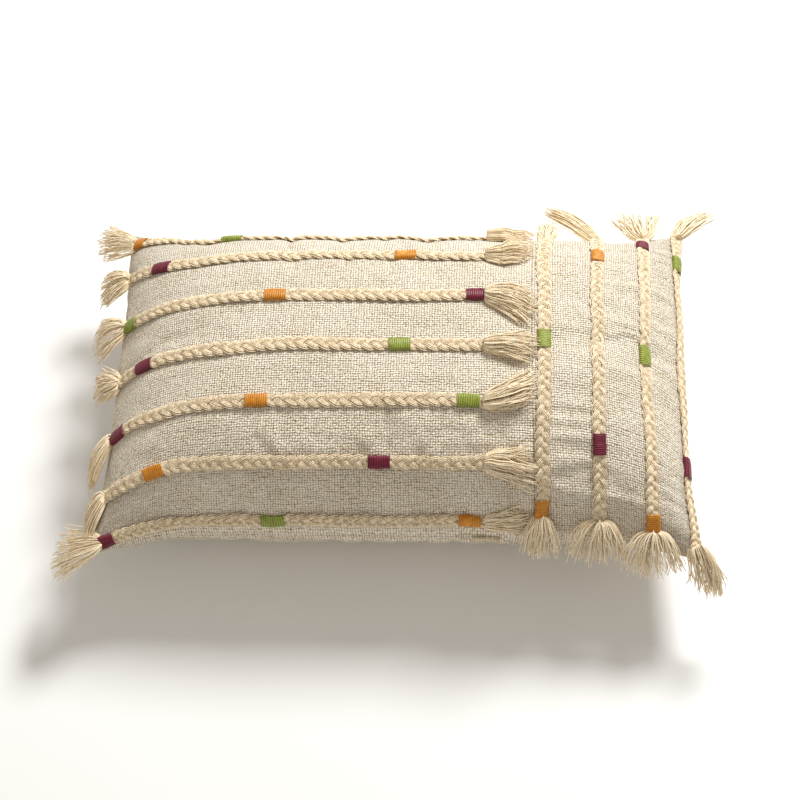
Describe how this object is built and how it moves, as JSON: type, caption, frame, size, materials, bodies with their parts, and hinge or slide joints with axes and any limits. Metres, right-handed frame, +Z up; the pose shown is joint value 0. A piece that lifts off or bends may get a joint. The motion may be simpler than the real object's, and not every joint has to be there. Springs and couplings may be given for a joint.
{
  "type": "throw pillow",
  "caption": "Rectangular throw pillow with braided rows, thread-wrapped accents and tassels on a two-panel woven cover with a hidden zip.",
  "frame": {"origin": "middle of the flat patch that the pillow rests on, on the surface it lies on", "axes": "+X along the long side towards the panel with the columns, +Y along the short side away from the zip, +Z up out of the front"},
  "size_m": [0.5951, 0.4128, 0.1942],
  "materials": {
    "cover_cloth": "coarse plain-woven slub cotton, unbleached",
    "insert_casing": "fine calico",
    "polyester_fibre": "loose hollow polyester fibre",
    "zip_tape": "woven polyester tape",
    "zip_coil": "nylon coil",
    "zip_metal": "nickel-plated die-cast zinc",
    "braid_cotton": "flat three-strand plait of soft cotton yarn",
    "tassel_cotton": "loose cut cotton yarn",
    "thread_mustard": "glossy embroidery thread, close wound",
    "thread_maroon": "glossy embroidery thread, close wound",
    "thread_green": "glossy embroidery thread, close wound"
  },
  "bodies": {
    "pillow": {"front_panel_left": "cover_cloth", "front_panel_right": "cover_cloth", "back_panel": "cover_cloth", "insert_casing_front": "insert_casing", "insert_casing_back": "insert_casing", "fibre_fill": "polyester_fibre", "zip_tape_upper": "zip_tape", "zip_tape_lower": "zip_tape", "zip_coil_upper": "zip_coil", "zip_coil_lower": "zip_coil", "zip_stop_closed_end": "zip_metal", "zip_stop_open_end": "zip_metal", "braid_row_1": "braid_cotton", "braid_row_2": "braid_cotton", "braid_row_3": "braid_cotton", "braid_row_4": "braid_cotton", "braid_row_5": "braid_cotton", "braid_row_6": "braid_cotton", "braid_row_7": "braid_cotton", "braid_column_1": "braid_cotton", "braid_column_2": "braid_cotton", "braid_column_3": "braid_cotton", "braid_column_4": "braid_cotton", "wraps_mustard_rows": "thread_mustard", "wraps_maroon_rows": "thread_maroon", "wraps_green_rows": "thread_green", "wraps_mustard_columns": "thread_mustard", "wraps_maroon_columns": "thread_maroon", "wraps_green_columns": "thread_green", "tassel_row_1_left": "tassel_cotton", "tassel_row_2_left": "tassel_cotton", "tassel_row_3_left": "tassel_cotton", "tassel_row_4_left": "tassel_cotton", "tassel_row_5_left": "tassel_cotton", "tassel_row_6_left": "tassel_cotton", "tassel_row_7_left": "tassel_cotton", "tassel_row_1_right": "tassel_cotton", "tassel_row_2_right": "tassel_cotton", "tassel_row_3_right": "tassel_cotton", "tassel_row_4_right": "tassel_cotton", "tassel_row_5_right": "tassel_cotton", "tassel_row_6_right": "tassel_cotton", "tassel_row_7_right": "tassel_cotton", "tassel_column_1_top": "tassel_cotton", "tassel_column_2_top": "tassel_cotton", "tassel_column_3_top": "tassel_cotton", "tassel_column_4_top": "tassel_cotton", "tassel_column_1_bottom": "tassel_cotton", "tassel_column_2_bottom": "tassel_cotton", "tassel_column_3_bottom": "tassel_cotton", "tassel_column_4_bottom": "tassel_cotton"},
    "slider": {"zip_slider": "zip_metal"},
    "pull": {"zip_pull": "zip_metal"}
  },
  "joints": [
    {"name": "zip_slide", "type": "slide", "parent": "pillow", "child": "slider", "axis": [-1, 0, 0], "range_m": [0, 0.274]},
    {"name": "pull_swing", "type": "hinge", "parent": "slider", "child": "pull", "pos_m": [0.0955, -0.1608, 0.082], "axis": [0, 0, 1], "range_deg": [0, 180]}
  ]
}
